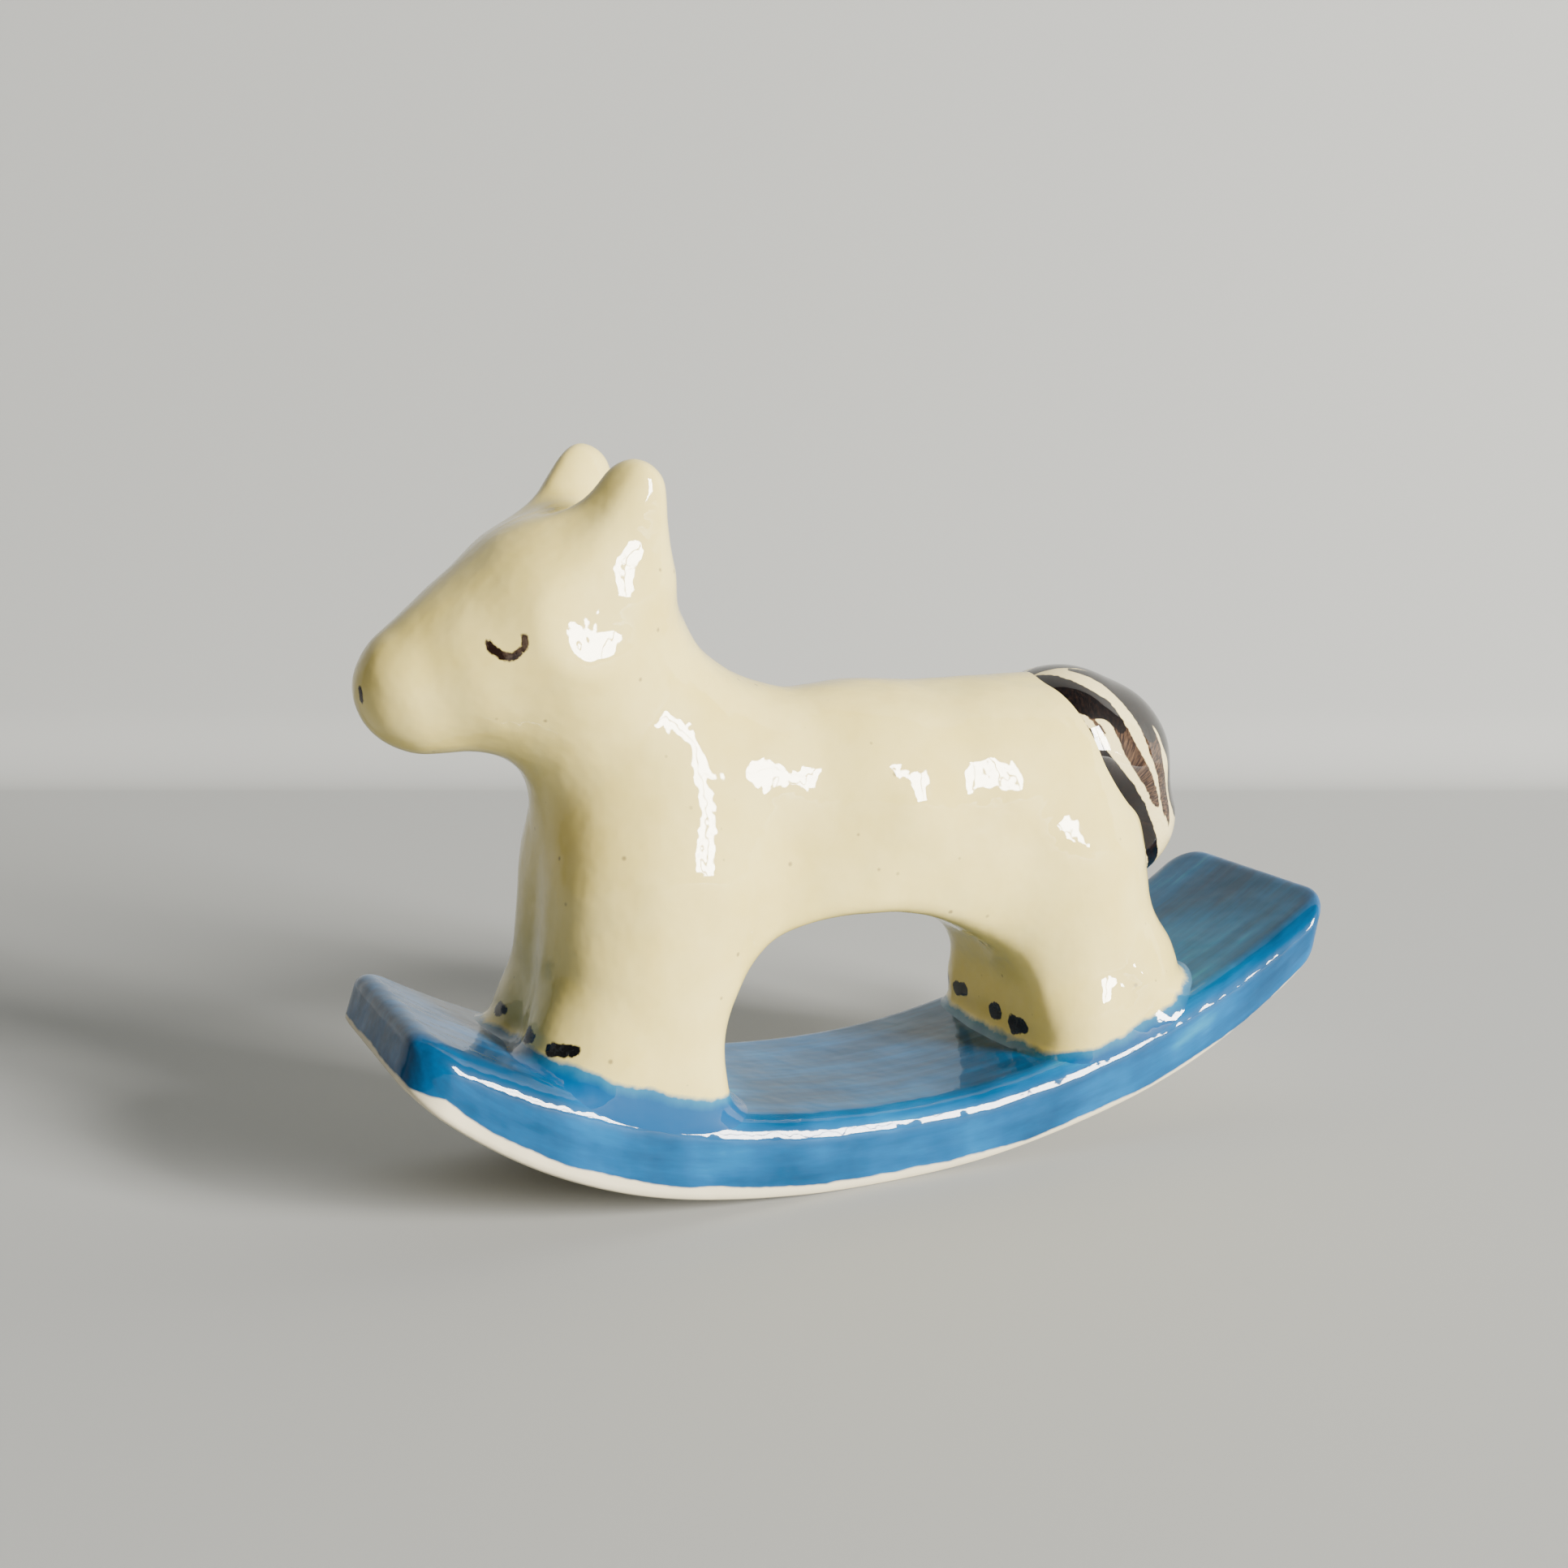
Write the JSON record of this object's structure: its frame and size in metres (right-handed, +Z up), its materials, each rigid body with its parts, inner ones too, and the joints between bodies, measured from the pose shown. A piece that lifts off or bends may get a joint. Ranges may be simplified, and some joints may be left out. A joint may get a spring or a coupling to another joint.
{
  "type": "rocking horse ornament",
  "caption": "Small glazed ceramic horse with upright ears and a painted tail, standing on a curved blue slab that rocks on its underside.",
  "frame": {"origin": "on the ground under the middle of the bounding box, with the slab resting at z = 0", "axes": "+X forward towards the muzzle, +Y to the horse's left, +Z up"},
  "size_m": [0.1143, 0.03, 0.0789],
  "materials": {
    "cream_glaze": "glossy transparent glaze over cream clay",
    "blue_glaze": "brushed blue underglaze under a glossy transparent glaze, bare cream clay along the lower edge",
    "tail_glaze": "black and brown brush strokes on cream under a glossy transparent glaze"
  },
  "bodies": {
    "root": {"rocker": "blue_glaze", "torso": "cream_glaze", "neck": "cream_glaze", "head": "cream_glaze", "ear_left": "cream_glaze", "ear_right": "cream_glaze", "foreleg_left": "cream_glaze", "foreleg_right": "cream_glaze", "hindleg_left": "cream_glaze", "hindleg_right": "cream_glaze", "tail": "tail_glaze"}
  },
  "joints": []
}
